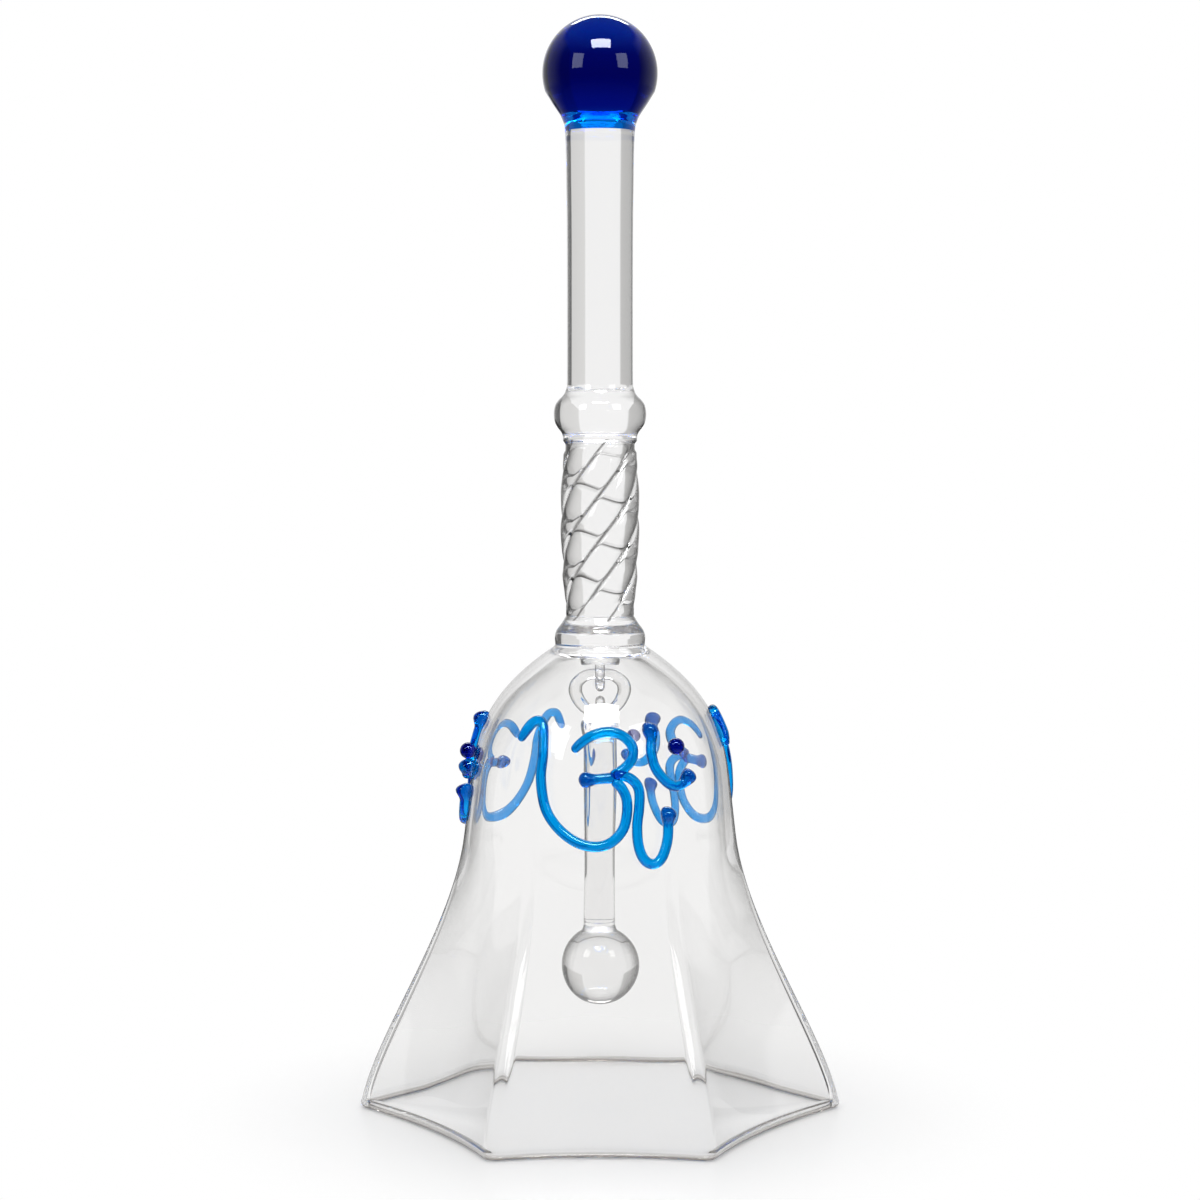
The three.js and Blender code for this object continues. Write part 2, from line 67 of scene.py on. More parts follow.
def bezier(points, steps):
    line = []
    for i in range(steps + 1):
        t = i / steps
        weights = ((1 - t) ** 3, 3 * t * (1 - t) ** 2, 3 * t * t * (1 - t), t ** 3)
        line.append(tuple(sum(w * p[axis] for w, p in zip(weights, points)) for axis in (0, 1)))
    return line


SIDE_SLOPE = (WAIST[0] - SHOULDER[0]) / (SHOULDER[1] - WAIST[1])
DOME_DROP = SHELL_HEIGHT - SHOULDER[1]
DOME_LINE = bezier([
    (CROWN_SEAT, SHELL_HEIGHT),
    (CROWN_SEAT + 0.69 * (WAIST[0] - CROWN_SEAT), SHELL_HEIGHT - 0.31 * DOME_DROP),
    (SHOULDER[0] - 0.39 * DOME_DROP * SIDE_SLOPE, SHOULDER[1] + 0.39 * DOME_DROP),
    SHOULDER,
], 44)
FLARE_LINE = bezier([
    WAIST,
    (WAIST[0] + 0.36 * WAIST[1] * SIDE_SLOPE, WAIST[1] * 0.64),
    (MOUTH_RADIUS - 0.25 * WAIST[1] * MOUTH_SLOPE, 0.25 * WAIST[1]),
    (MOUTH_RADIUS, 0.0),
], 72)
BETWEEN_LINE = [tuple(SHOULDER[axis] + (WAIST[axis] - SHOULDER[axis]) * k / 8 for axis in (0, 1))
                for k in range(1, 8)]
SHELL_LINE = DOME_LINE + BETWEEN_LINE + FLARE_LINE


def ridge_radius(height):
    for high, low in zip(SHELL_LINE, SHELL_LINE[1:]):
        if height >= low[1]:
            t = min((height - low[1]) / max(high[1] - low[1], 1e-9), 1.0)
            return low[0] + (high[0] - low[0]) * t
    return MOUTH_RADIUS


def hex_share(height):
    return 1 - min(max(height / ROUND_ABOVE, 0.0), 1.0) ** 2


def section_radius(turn, ridge, height, inset):
    share = hex_share(height)
    if share < 1e-6:
        return ridge - inset
    half = math.pi / CORNERS
    fill = CORNER_FILL * min(max(inset / WALL, 0.0), 1.0)
    offset = CORNER_ROUNDING - inset + fill
    outer_tip = ridge - CORNER_ROUNDING
    tip = outer_tip - fill / math.cos(half)
    chord = tip * math.sin(half)
    hollow = SIDE_HOLLOW * share * outer_tip / (MOUTH_RADIUS - CORNER_ROUNDING)
    bow = (chord * chord + hollow * hollow) / (2 * hollow)
    centre = tip * math.cos(half) - hollow + bow
    lean = math.asin(chord / bow)
    joint = (tip * math.cos(half) + offset * math.cos(lean), chord - offset * math.sin(lean))
    angle = abs(turn)
    away = half - angle
    if angle < math.atan2(joint[1], joint[0]):
        reach = bow - offset
        hexagon = centre * math.cos(angle) - math.sqrt(reach * reach - (centre * math.sin(angle)) ** 2)
    else:
        hexagon = tip * math.cos(away) + math.sqrt(offset * offset - (tip * math.sin(away)) ** 2)
    return hexagon * share + (ridge - inset) * (1 - share)


def section_point(radius, azimuth, ridge, section_height, height):
    out = radius * math.cos(azimuth)
    pinch = 1 - SIDE_PINCH * hex_share(section_height) * (abs(out) / ridge) ** 1.5
    return Vector((radius * math.sin(azimuth) * pinch, -out, height))


def on_shell(azimuth, height, proud):
    sector = 2 * math.pi / CORNERS
    turn = azimuth - sector * round(azimuth / sector)
    ridge = ridge_radius(height)
    return section_point(section_radius(turn, ridge, height, 0.0) + proud, azimuth, ridge, height, height)


def skinned_mesh(name, rings, start, end, loop=False):
    around = len(rings[0])
    points = [Vector(p) * MM for ring in rings for p in ring]
    count = len(rings)
    faces = []
    for k in range(count if loop else count - 1):
        a = k * around
        b = ((k + 1) % count) * around
        for i in range(around):
            j = (i + 1) % around
            faces.append((a + i, a + j, b + j, b + i))
    caps = {}
    last = (count - 1) * around
    for kind, first, backwards in ((start, 0, True), (end, last, False)):
        if loop or kind is None:
            continue
        ring = [first + i for i in range(around)]
        if backwards:
            ring.reverse()
        if isinstance(kind, (int, float)):
            points.append(Vector((0, 0, kind)) * MM)
            pole = len(points) - 1
            faces.extend((ring[i], ring[(i + 1) % around], pole) for i in range(around))
        else:
            caps[len(faces)] = kind
            faces.append(tuple(ring))
    mesh = bpy.data.meshes.new(name)
    mesh.from_pydata(points, [], faces)
    mesh.update()
    rim = set()
    for polygon in mesh.polygons:
        polygon.use_smooth = polygon.index not in caps
        if polygon.index in caps:
            polygon.material_index = 1 if caps[polygon.index] == "fused" else 0
            rim.update(polygon.edge_keys)
    for edge in mesh.edges:
        edge.use_edge_sharp = tuple(sorted(edge.vertices)) in rim
    return mesh


def add_piece(mesh, node, body, materials):
    piece = bpy.data.objects.new(mesh.name, mesh)
    bpy.context.scene.collection.objects.link(piece)
    for material in materials:
        mesh.materials.append(material)
    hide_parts(node)
    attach(piece, body)
    return piece


def link_nodes(tree, source, output, target, entry):
    tree.links.new(source.outputs[output], target.inputs[entry])


def feed(tree, value, entry):
    if isinstance(value, bpy.types.NodeSocket):
        tree.links.new(value, entry)
    else:
        entry.default_value = value


def math_node(tree, operation, first, second=0.5):
    node = tree.nodes.new("ShaderNodeMath")
    node.operation = operation
    feed(tree, first, node.inputs[0])
    feed(tree, second, node.inputs[1])
    return node


def map_range(tree, value, low, high, smooth=False):
    node = tree.nodes.new("ShaderNodeMapRange")
    if smooth:
        node.interpolation_type = "SMOOTHSTEP"
    node.inputs["From Min"].default_value = low
    node.inputs["From Max"].default_value = high
    feed(tree, value, node.inputs["Value"])
    return node


def colour_mix(tree, share, first, second):
    node = tree.nodes.new("ShaderNodeMix")
    node.data_type = "RGBA"
    feed(tree, share, node.inputs[0])
    feed(tree, first, node.inputs["A"])
    feed(tree, second, node.inputs["B"])
    return node


def place_parts(tree, output="Object"):
    where = tree.nodes.new("ShaderNodeTexCoord")
    parts = tree.nodes.new("ShaderNodeSeparateXYZ")
    link_nodes(tree, where, output, parts, 0)
    return parts


def build_flame_marks():
    group = bpy.data.node_groups.new("flame_marks", "ShaderNodeTree")
    face = group.interface
    scale_in = face.new_socket("Scale", in_out="INPUT", socket_type="NodeSocketFloat")
    scale_in.default_value = 60.0
    stretch_in = face.new_socket("Stretch", in_out="INPUT", socket_type="NodeSocketVector")
    stretch_in.default_value = (1, 1, 1)
    face.new_socket("Height", in_out="OUTPUT", socket_type="NodeSocketFloat")
    face.new_socket("Tone", in_out="OUTPUT", socket_type="NodeSocketFloat")
    face.new_socket("Haze", in_out="OUTPUT", socket_type="NodeSocketFloat")
    entry = group.nodes.new("NodeGroupInput")
    leave = group.nodes.new("NodeGroupOutput")
    where = group.nodes.new("ShaderNodeTexCoord")
    stretched = group.nodes.new("ShaderNodeVectorMath")
    stretched.operation = "MULTIPLY"
    link_nodes(group, where, "Object", stretched, 0)
    link_nodes(group, entry, "Stretch", stretched, 1)
    swell = group.nodes.new("ShaderNodeTexNoise")
    swell.inputs["Detail"].default_value = 1.0
    swell.inputs["Roughness"].default_value = 0.4
    link_nodes(group, stretched, 0, swell, "Vector")
    link_nodes(group, entry, "Scale", swell, "Scale")
    fine_scale = math_node(group, "MULTIPLY", entry.outputs["Scale"], 4.3)
    fine = group.nodes.new("ShaderNodeTexNoise")
    fine.inputs["Detail"].default_value = 2.0
    link_nodes(group, stretched, 0, fine, "Vector")
    link_nodes(group, fine_scale, 0, fine, "Scale")
    both = math_node(group, "MULTIPLY_ADD", fine.outputs[0], 0.08)
    link_nodes(group, swell, 0, both, 2)
    link_nodes(group, both, 0, leave, "Height")
    link_nodes(group, swell, 0, leave, "Tone")
    haze = map_range(group, fine.outputs[0], 0.55, 0.8)
    haze.inputs["To Max"].default_value = 0.03
    link_nodes(group, haze, 0, leave, "Haze")
    return group


flame_marks = build_flame_marks()


def new_material(name):
    material = bpy.data.materials.new(name)
    material.use_nodes = True
    return material


def shader_of(material):
    return material.node_tree.nodes["Principled BSDF"]


def glass_material(name, thin, thick, edge, edge_shade_start, scale, stretch, ripple, edge_shade_end=1.0):
    material = new_material(name)
    tree = material.node_tree
    shader = shader_of(material)
    shader.inputs["Transmission Weight"].default_value = 1.0
    shader.inputs["IOR"].default_value = 1.47
    marks = tree.nodes.new("ShaderNodeGroup")
    marks.node_tree = flame_marks
    marks.inputs["Scale"].default_value = scale
    marks.inputs["Stretch"].default_value = stretch
    tone = colour_mix(tree, marks.outputs["Tone"], (*thin, 1), (*thick, 1))
    tone.name = "tone"
    # Painted shade: the base colour is darkened toward the edge colour where the surface turns away from
    # view, which draws dark outlines along the glass's edges.
    facing = tree.nodes.new("ShaderNodeLayerWeight")
    facing.inputs["Blend"].default_value = 0.5
    edge_shade_mask = map_range(tree, facing.outputs["Facing"], edge_shade_start, edge_shade_end, smooth=True)
    edge_shaded = colour_mix(tree, edge_shade_mask.outputs[0], tone.outputs[2], (*edge, 1))
    edge_shaded.name = "edge_shaded"
    tree.links.new(edge_shaded.outputs[2], shader.inputs["Base Color"])
    link_nodes(tree, marks, "Haze", shader, "Roughness")
    bump = tree.nodes.new("ShaderNodeBump")
    bump.inputs["Strength"].default_value = ripple
    bump.inputs["Distance"].default_value = 0.001
    link_nodes(tree, marks, "Height", bump, "Height")
    link_nodes(tree, bump, "Normal", shader, "Normal")
    return material


def tint(material, share, colour):
    tree = material.node_tree
    tinted = colour_mix(tree, share, tree.nodes["tone"].outputs[2], (*colour, 1))
    tree.links.new(tinted.outputs[2], tree.nodes["edge_shaded"].inputs["A"])


def build_fused_face():
    material = new_material("fused_face")
    shader = shader_of(material)
    shader.inputs["Base Color"].default_value = (1, 1, 1, 1)
    shader.inputs["Alpha"].default_value = 0.0
    return material


fused_face = build_fused_face()


def shell_glass():
    material = glass_material(
        "blown_clear_glass", (0.972, 0.97, 0.967), (0.945, 0.943, 0.94), (0.02, 0.018, 0.016), 0.45, 38.0,
        (1, 1, 0.6), 0.025)
    tree = material.node_tree
    height = place_parts(tree).outputs["Z"]
    # Painted shade: the glass is tinted dark brown-grey at the bottom of the lip bead, which draws a dark rim
    # line along the floor.
    lip_shade = map_range(tree, height, 0.6 * LIP_HEIGHT * MM, 0.25 * LIP_HEIGHT * MM, smooth=True)
    tint(material, lip_shade.outputs[0], (0.24, 0.215, 0.19))
    return material


blown_glass = shell_glass()


def shell_mesh():
    half = math.pi / CORNERS
    turns = []
    for side in range(CORNERS):
        for i in range(SHELL_COLUMNS):
            u = -1 + 2 * i / SHELL_COLUMNS
            turn = half * (u + CORNER_CROWDING * math.sin(math.pi * u))
            turns.append((turn, side * 2 * half + turn))

    def ring(ridge, height, section_height, inset, waver=0.0):
        points = []
        for turn, azimuth in turns:
            around = Vector((math.sin(azimuth), math.cos(azimuth), 0)) * WAVER_TURNS
            spot = around + Vector((0, 0, height / WAVER_LENGTH))
            radius = section_radius(turn, ridge, section_height, inset + waver * noise.noise(spot))
            points.append(section_point(radius, azimuth, ridge, section_height, height))
        return points

    outer = []
    inner = []
    for i, (radius, height) in enumerate(SHELL_LINE):
        if height <= LIP_HEIGHT:
            continue
        before = SHELL_LINE[max(i - 1, 0)]
        after = SHELL_LINE[i + 1]
        along = Vector((after[0] - before[0], after[1] - before[1])).normalized()
        share = min(max((height - SHOULDER[1]) / DOME_DROP, 0.0), 1.0)
        thickness = WALL + (CROWN_WALL - WALL) * share * share
        outer.append(ring(radius, height, height, 0.0))
        inner_height = height - along.x * thickness
        if inner_height < SHELL_HEIGHT - CROWN_WALL - 0.05:
            inner.append(ring(radius, inner_height, height, -along.y * thickness, WALL_WAVER))
    lip = ridge_radius(LIP_HEIGHT)
    beads = []
    for k in range(LIP_STEPS + 1):
        a = math.pi * k / LIP_STEPS
        inset = WALL / 2 - (WALL / 2 + LIP_SWELL) * math.cos(a)
        drop = LIP_HEIGHT * LIP_DROP * (1 - math.sin(a))
        beads.append(ring(lip, drop, LIP_HEIGHT, inset))
    beads.reverse()
    under = SHELL_HEIGHT - CROWN_WALL
    first = inner[0]
    seat_radius = math.hypot(first[0][0], first[0][1])
    seat = []
    for radius in (STUB_SEAT, STUB_SEAT + 0.4, seat_radius - 1.2, seat_radius - 0.3):
        seat.append([(radius * math.sin(a), -radius * math.cos(a), under) for _, a in turns])
    outer.reverse()
    return skinned_mesh("shell_glass", seat + inner + beads + outer, "fused", "fused")


add_piece(shell_mesh(), "bell_shell", "bell", [blown_glass, fused_face])

# Lower collar: a disc of clear glass pressed on the crown, filleted up into the neck of the twisted handle.
# It is fused to the shell below and to the strands above, so nothing shows where the pieces meet.
NECK_HEIGHT = 90.15
NECK_RADIUS = 6.62
COLLAR_LINE = [(8.4, SHELL_HEIGHT), (8.2, 85.75), (8.27, 86.5), (8.26, 87.1), (8.12, 87.9), (7.75, 88.6),
               (7.2, 89.3), (NECK_RADIUS, NECK_HEIGHT)]


def smooth_line(points, steps):
    line = []
    for i in range(len(points) - 1):
        p1 = Vector(points[i])
        p2 = Vector(points[i + 1])
        p0 = Vector(points[i - 1]) if i > 0 else 2 * p1 - p2
        p3 = Vector(points[i + 2]) if i + 2 < len(points) else 2 * p2 - p1
        for k in range(steps):
            t = k / steps
            line.append(0.5 * (2 * p1 + (p2 - p0) * t + (2 * p0 - 5 * p1 + 4 * p2 - p3) * t ** 2
                               + (3 * p1 - 3 * p2 + p3 - p0) * t ** 3))
    line.append(Vector(points[-1]))
    return line


def turned_rings(line, segments=96):
    rings = []
    for radius, height in line:
        angles = [2 * math.pi * k / segments for k in range(segments)]
        rings.append([(radius * math.sin(a), -radius * math.cos(a), height) for a in angles])
    return rings


def wire_ring(point, across, normal, radius, sides):
    angles = [2 * math.pi * k / sides for k in range(sides)]
    return [point + across * radius * math.cos(a) + normal * radius * math.sin(a) for a in angles]


pressed_glass = glass_material(
    "pressed_clear_glass", (0.945, 0.942, 0.94), (0.915, 0.912, 0.91), (0.04, 0.038, 0.036), 0.36, 150.0,
    (1, 1, 1), 0.08, 0.82)
add_piece(skinned_mesh("collar_glass", turned_rings(smooth_line(COLLAR_LINE, 5), 192), "fused", "fused"),
          "lower_collar", "bell", [pressed_glass, fused_face])

# Twisted column: six clear rods laid side by side, pressed together while hot and given two thirds of a turn.
# Their backs stay round, their ends are round too and lie over the necks, and inside they are one glass.
TWIST_TOP = 123.05
TWIST_PITCH = 49.6
STRANDS = 6
VALLEY_AT_FRONT = 113.2
TOP_NECK_RADIUS = 6.78
CREST_RADIUS = 7.2
BACK_ROUND = 4.5
CREASE_DEPTH = 0.5
CREASE_START = 0.78
CREASE_SHADE_LINE = (0.8, 0.95)
CREASE_CROWDING = 0.12
FAR_SIDE_SMOOTH = 0.85
END_TIP = 2.6
END_TIP_WIDTH = 0.94
END_RISE = 0.9
UNDER_ENDS = 0.42
UNDER_ENDS_LENGTH = 0.8
STRAND_COLUMNS = 24
STRAND_ROWS = 150
TWIST_SWELL = [(90.1, 6.45), (92.0, 6.4), (95.0, 6.55), (99.0, 6.95), (103.5, 7.1), (108.0, 7.35),
               (113.0, 7.2), (117.5, 7.1), (120.5, 6.75), (123.2, 6.85)]
FOOT_REACH = [0.2, 1.5, 0.7, 2.0, 0.4, 1.2]
HEAD_REACH = [0.4, 1.6, 0.2, 1.1, 1.8, 0.8]


def along_table(table, height):
    for low, high in zip(table, table[1:]):
        if height <= high[0]:
            t = max((height - low[0]) / (high[0] - low[0]), 0.0)
            t = t * t * (3 - 2 * t)
            return low[1] + (high[1] - low[1]) * t
    return table[-1][1]


def ease(value, low, high):
    t = min(max((value - low) / (high - low), 0.0), 1.0)
    return t * t * (3 - 2 * t)


def strand_mesh(index):
    columns = STRAND_COLUMNS
    half = math.pi / STRANDS
    rings = []
    for k in range(STRAND_ROWS + 1):
        height = NECK_HEIGHT + (TWIST_TOP - NECK_HEIGHT) * k / STRAND_ROWS
        neck = NECK_RADIUS + (TOP_NECK_RADIUS - NECK_RADIUS) * (k / STRAND_ROWS)
        crest = along_table(TWIST_SWELL, height)
        round_back = BACK_ROUND * crest / CREST_RADIUS
        centre = crest - round_back
        turned = (height - VALLEY_AT_FRONT) / TWIST_PITCH + index / STRANDS
        turn = -math.pi / 2 - half + 2 * math.pi * turned
        ring = [(0.0, 0.0, height)]
        for i in range(columns + 1):
            u = -1 + 2 * i / columns
            u += CREASE_CROWDING * math.sin(math.pi * u)
            a = half * u
            back = centre * math.cos(a) + math.sqrt(round_back ** 2 - (centre * math.sin(a)) ** 2)
            back -= CREASE_DEPTH * max((abs(u) - CREASE_START) / (1 - CREASE_START), 0.0) ** 1.5
            tip = END_TIP * (1 - math.sqrt(max(1 - (END_TIP_WIDTH * u) ** 2, 0.0)))
            foot = ease(height - NECK_HEIGHT - FOOT_REACH[index] - tip, 0.0, END_RISE)
            head = ease(TWIST_TOP - height - HEAD_REACH[index] - tip, 0.0, END_RISE)
            at_ends = ease(min(height - NECK_HEIGHT, TWIST_TOP - height), 0.0, UNDER_ENDS_LENGTH)
            waist = neck - UNDER_ENDS * at_ends
            radius = waist + (back - waist) * foot * head
            ring.append((radius * math.cos(turn + a), radius * math.sin(turn + a), height))
        rings.append(ring)
    mesh = skinned_mesh(f"strand_{index + 1}_glass", rings, "fused", "fused")
    around = columns + 2
    seams = set()
    for polygon in mesh.polygons:
        corners = [v % around for v in polygon.vertices]
        if len(corners) == 4 and 0 in corners:
            polygon.material_index = 1
            polygon.use_smooth = False
            seams.update(polygon.edge_keys)
    for edge in mesh.edges:
        if tuple(sorted(edge.vertices)) in seams:
            edge.use_edge_sharp = True
    # Painted shade mask: how near each point lies to a crease between strands, for darkening there.
    crease_shade = mesh.attributes.new("crease_shade", "FLOAT", "POINT")
    for k in range(len(mesh.vertices)):
        u = abs(k % around - 1 - columns / 2) / (columns / 2)
        crease_shade.data[k].value = ease(u, *CREASE_SHADE_LINE)
    return mesh


def twist_glass():
    material = glass_material(
        "twisted_clear_glass", (0.93, 0.927, 0.925), (0.9, 0.897, 0.895), (0.02, 0.019, 0.018), 0.1, 120.0,
        (1, 1, 0.7), 0.04, 0.68)
    tree = material.node_tree
    shader = shader_of(material)
    # The far side is seen through the near one as a plain round back, and near the creases a painted shade
    # line, seen only by the camera, darkens the strands
    where = tree.nodes.new("ShaderNodeTexCoord")
    inward = tree.nodes.new("ShaderNodeVectorMath")
    inward.operation = "MULTIPLY"
    inward.inputs[1].default_value = (-1, -1, 0)
    link_nodes(tree, where, "Object", inward, 0)
    round_back = tree.nodes.new("ShaderNodeVectorMath")
    round_back.operation = "NORMALIZE"
    link_nodes(tree, inward, 0, round_back, 0)
    surface = tree.nodes.new("ShaderNodeNewGeometry")
    smoothed = math_node(tree, "MULTIPLY", surface.outputs["Backfacing"], FAR_SIDE_SMOOTH)
    blend = tree.nodes.new("ShaderNodeMix")
    blend.data_type = "VECTOR"
    link_nodes(tree, smoothed, 0, blend, 0)
    bump = shader.inputs["Normal"].links[0].from_node
    link_nodes(tree, bump, "Normal", blend, "A")
    link_nodes(tree, round_back, 0, blend, "B")
    link_nodes(tree, blend, "Result", shader, "Normal")
    # Painted shade: camera rays see the strands darkened near the creases between them.
    crease_shade = tree.nodes.new("ShaderNodeAttribute")
    crease_shade.attribute_name = "crease_shade"
    ray = tree.nodes.new("ShaderNodeLightPath")
    crease_shade_mask = math_node(tree, "MULTIPLY", crease_shade.outputs["Fac"], ray.outputs["Is Camera Ray"])
    tint(material, crease_shade_mask.outputs[0], (0.06, 0.057, 0.054))
    return material


twisted_glass = twist_glass()
for number in range(STRANDS):
    add_piece(strand_mesh(number), f"twist_strand_{number + 1}", "bell",
              [twisted_glass, fused_face])

# Knop: a round bead of clear glass gathered between the twist and the grip, fused to both.
# Short fillets lead up to it from the neck below and from the rod above.
KNOP_TOP = 132.3
KNOP_LINE = [(TOP_NECK_RADIUS, TWIST_TOP), (6.84, 123.8), (7.1, 124.5), (7.66, 125.2), (8.12, 125.95),
             (8.37, 126.7), (8.45, 127.4), (8.45, 128.15), (8.33, 128.9), (8.1, 129.6), (7.55, 130.35),
             (6.85, 131.05), (6.42, 131.7), (6.22, KNOP_TOP)]
add_piece(skinned_mesh("knop_glass", turned_rings(smooth_line(KNOP_LINE, 4)), "fused", "fused"),
          "handle_knop", "bell", [pressed_glass, fused_face])

# Grip: one plain solid rod, as drawn, a little wider at the ends where the flame has softened it.
# Its glass has long faint streaks along the rod, which the drawing of it has left.
GRIP_TOP = 180.35
GRIP_LINE = [(6.22, KNOP_TOP), (6.1, 132.75), (6.04, 133.4), (6.02, 137.0), (6.01, 150.0), (6.04, 162.0),
             (6.14, 170.0), (6.2, 175.0), (6.3, 178.0), (6.42, 179.5), (6.56, GRIP_TOP)]
drawn_glass = glass_material(
    "drawn_clear_glass", (0.92, 0.917, 0.915), (0.885, 0.882, 0.88), (0.03, 0.028, 0.027), 0.46, 90.0,
    (1, 1, 0.12), 0.03)
add_piece(skinned_mesh("grip_glass", turned_rings(smooth_line(GRIP_LINE, 8)), "fused", "fused"),
          "grip_rod", "bell", [drawn_glass, fused_face])

# Finial: a gathered ball of cobalt glass, drawn down to the rod it is fused on.
# The glass is so deep a blue that it looks black where it is thickest, and bright where light gathers, which
# is partly painted light: its blue is lightened towards the top and bottom.
BALL_RADIUS = 10.5
BALL_CENTRE = 189.5
NECK_END = 186.2
FINIAL_TOP = SHELL_HEIGHT + 114.7
FINIAL_NECK = [(6.56, GRIP_TOP), (6.72, 180.8), (7.16, 181.85), (7.88, 182.95), (8.62, 184.05), (9.3, 185.15)]


def finial_rings():
    line = smooth_line(FINIAL_NECK, 5)
    start = math.asin((NECK_END - BALL_CENTRE) / BALL_RADIUS)
    steps = 41
    for k in range(steps):
        a = start + (math.pi / 2 - start) * k / steps
        line.append((BALL_RADIUS * math.cos(a), BALL_CENTRE + BALL_RADIUS * math.sin(a)))
    return turned_rings(line)


def ball_glass():
    material = glass_material(
        "cobalt_ball_glass", (0.0, 0.0005, 0.1), (0.0, 0.0002, 0.07), (0.0, 0.0, 0.02), 0.6, 70.0,
        (1, 1, 1), 0.02)
    tree = material.node_tree
    shader = shader_of(material)
    shader.inputs["IOR"].default_value = 1.36
    shader.inputs["Specular Tint"].default_value = (0.75, 0.8, 1, 1)
    # Painted light: the blue is lightened away from the ball's middle height, towards its top and bottom.
    above = math_node(tree, "SUBTRACT", place_parts(tree).outputs["Z"], BALL_CENTRE * MM)
    off_middle = math_node(tree, "ABSOLUTE", above.outputs[0]).outputs[0]
    top_bottom_light = map_range(tree, off_middle, 0.15 * BALL_RADIUS * MM, 0.75 * BALL_RADIUS * MM, smooth=True)
    tint(material, top_bottom_light.outputs[0], (0.0, 0.016, 0.3))
    return material


cobalt_ball = ball_glass()
add_piece(skinned_mesh("finial_glass", finial_rings(), "fused", FINIAL_TOP),
          "ball_finial", "bell", [cobalt_ball, fused_face])

# Hanger: a short button under the crown with a wire eye on it, a loose link, and the clapper's own eye.
# The eyes and the link are clear rod bent in the flame, 1.8 mm thick, and 2.5 mm at the link's sides.
STUB_TOP = SHELL_HEIGHT - CROWN_WALL
STUB_BOTTOM = 81.7
WIRE = 0.9
WIRE_SIDES = 20
EYE_ARC = 2.2
LEG_GAP = 0.01
CROWN_BAR = 78.1
CLAPPER_BAR = 75.6
CLAPPER_TOP = 72.0
LINK_TOP_BAR = 80.2
LINK_LOW_BAR = 73.5
LINK_SIDE = 1.25
LINK_LINE = [(0, LINK_TOP_BAR), (2.3, 80.05), (4.0, 78.95), (4.5, 77.6), (4.15, 76.3), (3.3, 75.0),
             (2.0, 73.9), (0, LINK_LOW_BAR)]


def eye_mesh(name, bar, leg_end):
    up = 1 if leg_end > bar else -1
    centre = bar + up * EYE_ARC
    arc = [math.pi * k / 32 for k in range(33)]
    path = [Vector((0, -EYE_ARC, leg_end))]
    path += [Vector((0, -EYE_ARC * math.cos(a), centre - up * EYE_ARC * math.sin(a))) for a in arc]
    path.append(Vector((0, EYE_ARC, leg_end)))
    across = Vector((1, 0, 0))
    rings = []
    for i, point in enumerate(path):
        ahead = (path[min(i + 1, len(path) - 1)] - path[max(i - 1, 0)]).normalized()
        normal = ahead.cross(across)
        rings.append(wire_ring(point, across, normal, WIRE, WIRE_SIDES))
    return skinned_mesh(name, rings, "glass", "glass")


def link_mesh():
    steps = 8
    over_top = (-LINK_LINE[1][0], LINK_LINE[1][1])
    under_low = (-LINK_LINE[-2][0], LINK_LINE[-2][1])
    right = smooth_line([over_top] + LINK_LINE + [under_low], steps)[steps:-steps]
    path = [Vector((x, 0, z)) for x, z in right] + [Vector((-x, 0, z)) for x, z in right[-2:0:-1]]
    depth = Vector((0, 1, 0))
    count = len(path)
    rings = []
    for i, point in enumerate(path):
        ahead = (path[(i + 1) % count] - path[i - 1]).normalized()
        normal = depth.cross(ahead)
        side = WIRE + (LINK_SIDE - WIRE) * abs(ahead.z) ** 2
        rings.append(wire_ring(point, normal, depth, side, WIRE_SIDES))
    return skinned_mesh("link_glass", rings, None, None, loop=True)


bent_glass = glass_material(
    "bent_clear_glass", (0.93, 0.927, 0.925), (0.9, 0.897, 0.895), (0.03, 0.028, 0.026), 0.2, 260.0,
    (1, 1, 1), 0.05, 0.75)
STUB_LINE = [(3.35, STUB_BOTTOM), (3.5, 81.85), (3.56, 82.2), (3.58, 82.6), (STUB_SEAT, STUB_TOP)]
add_piece(skinned_mesh("stub_glass", turned_rings(smooth_line(STUB_LINE, 3), 192), "glass", "fused"),
          "crown_stub", "bell", [bent_glass, fused_face])
add_piece(eye_mesh("crown_eye_glass", CROWN_BAR, STUB_BOTTOM - LEG_GAP),
          "crown_eye", "bell", [bent_glass])
add_piece(link_mesh(), "hanger_link", "link", [bent_glass])
add_piece(eye_mesh("clapper_eye_glass", CLAPPER_BAR, CLAPPER_TOP + LEG_GAP),
          "clapper_eye", "clapper", [bent_glass])

# Clapper: a clear rod with a round shoulder at its top, and a gathered ball fused on its lower end.
# A faint ring stays where the ball was pushed up on the rod.
ROD_RADIUS = 2.95
ROD_BASE = 33.9
CLAPPER_BALL = 7.2
CLAPPER_CENTRE = 26.33
NECK_START = 32.75
ROD_LINE = [(2.9, ROD_BASE), (2.93, 34.5), (ROD_RADIUS, 36.0), (ROD_RADIUS, 50.0), (ROD_RADIUS, 66.0),
            (2.98, 68.2), (3.2, 69.4), (3.42, 70.4), (3.48, 71.1), (3.4, 71.7), (3.2, CLAPPER_TOP)]
add_piece(skinned_mesh("clapper_rod_glass", turned_rings(smooth_line(ROD_LINE, 5), 72), "fused", "glass"),
          "clapper_rod", "clapper", [drawn_glass, fused_face])


